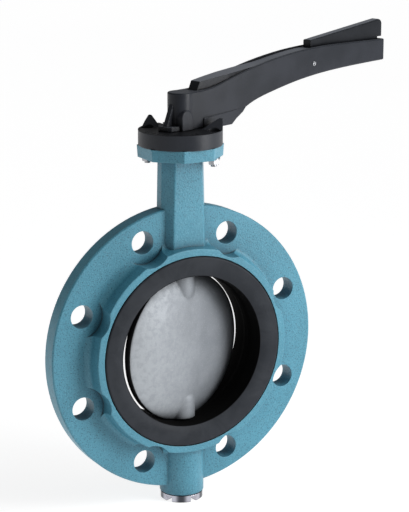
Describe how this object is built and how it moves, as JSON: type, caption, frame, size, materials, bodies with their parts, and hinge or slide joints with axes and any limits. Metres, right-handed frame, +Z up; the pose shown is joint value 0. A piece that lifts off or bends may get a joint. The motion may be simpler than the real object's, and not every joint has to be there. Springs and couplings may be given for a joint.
{
  "type": "butterfly valve",
  "caption": "Flanged butterfly valve: round body with rubber-lined bore, tilting disc on a vertical stem, notched top plate and long latching hand lever.",
  "frame": {"origin": "centre of the bore, where the stem axis crosses the pipe axis", "axes": "+Z up the stem, +Y along the pipe, +X along the lever's direction when the valve is shut; the front face looks to -Y"},
  "size_m": [0.4301, 0.1434, 0.4548],
  "materials": {
    "body_paint": "satin blue paint over cast iron",
    "liner_rubber": "satin moulded rubber",
    "disc_stainless": "matte cast stainless steel",
    "shaft_stainless": "ground stainless steel",
    "bush_polymer": "matte bearing polymer",
    "bush_bronze": "machined bronze",
    "seal_rubber": "black rubber",
    "spring_steel": "oiled spring steel",
    "plug_steel": "bright plated steel",
    "plate_paint": "satin black paint over cast iron",
    "zinc_steel": "zinc plated steel",
    "lever_paint": "satin anthracite powder coat over cast iron"
  },
  "bodies": {
    "valve": {"valve_body": "body_paint", "seat_liner": "liner_rubber", "upper_neck_bush": "bush_polymer", "lower_neck_bush": "bush_polymer", "stub_bush": "bush_polymer", "shaft_o_rings": "seal_rubber", "dust_seal": "seal_rubber", "thrust_washer": "bush_bronze", "thrust_pad": "bush_bronze", "bottom_plug": "plug_steel", "bottom_plug_seal": "seal_rubber", "notch_plate": "plate_paint", "plate_screws": "zinc_steel", "plate_washers": "zinc_steel", "plate_nuts": "zinc_steel"},
    "stem": {"shaft": "shaft_stainless", "disc": "disc_stainless", "retaining_ring": "spring_steel", "lever_arm": "lever_paint", "lever_set_screw": "zinc_steel", "trigger_pivot_pin": "zinc_steel", "trigger_spring": "spring_steel"},
    "trigger": {"latch_trigger": "lever_paint"}
  },
  "joints": [
    {"name": "stem_turn", "type": "hinge", "parent": "valve", "child": "stem", "pos_m": [0, 0, 0], "axis": [0, 0, 1], "range_deg": [-18, 72]},
    {"name": "trigger_squeeze", "type": "hinge", "parent": "stem", "child": "trigger", "pos_m": [0.1748, 0.0568, 0.2613], "axis": [-0.309, 0.9511, 0], "range_deg": [-1.6, 0.8], "stiffness_Nm_per_rad": 25, "deforming": ["trigger_spring"]}
  ]
}
